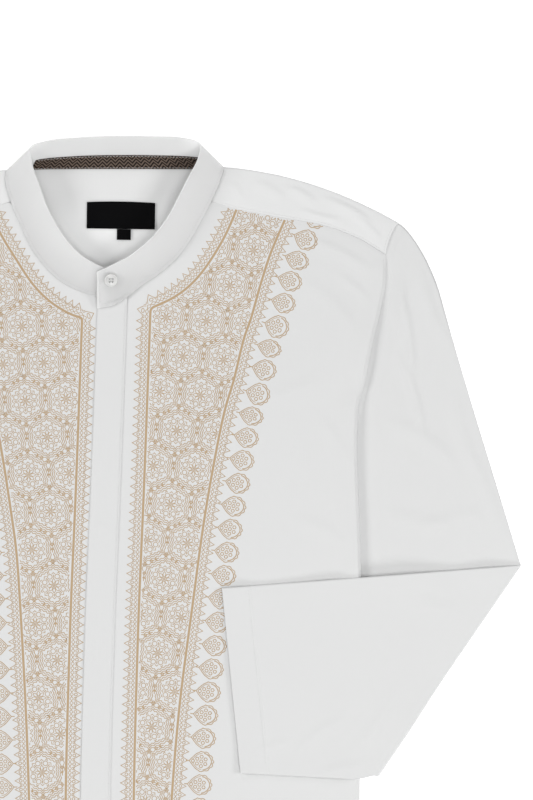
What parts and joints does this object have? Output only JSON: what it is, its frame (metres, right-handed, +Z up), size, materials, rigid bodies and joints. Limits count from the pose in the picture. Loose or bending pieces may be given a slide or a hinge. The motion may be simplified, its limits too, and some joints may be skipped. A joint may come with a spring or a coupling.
{
  "type": "koko shirt laid flat",
  "caption": "Long-sleeved cotton shirt with a stand collar, covered placket and printed fronts, laid face up with its sleeves folded in at the elbow.",
  "frame": {"origin": "bottom centre of the whole laid shirt, on the surface it lies on", "axes": "+Z up from the surface, +Y towards the collar, +X towards the wearer's left"},
  "size_m": [0.7136, 0.7646, 0.0225],
  "materials": {
    "cotton": "fine white plain weave",
    "print": "matt tan print on cotton",
    "tape": "dark brown herringbone tape",
    "label": "black woven satin",
    "pearl": "pearl"
  },
  "bodies": {
    "root": {"back": "cotton", "yoke": "cotton", "front_left": "cotton", "front_right": "cotton", "placket": "cotton", "collar": "cotton", "sleeve_left": "cotton", "sleeve_right": "cotton", "neck_tape": "tape", "label": "label", "size_tab": "label", "button": "pearl"}
  },
  "joints": []
}
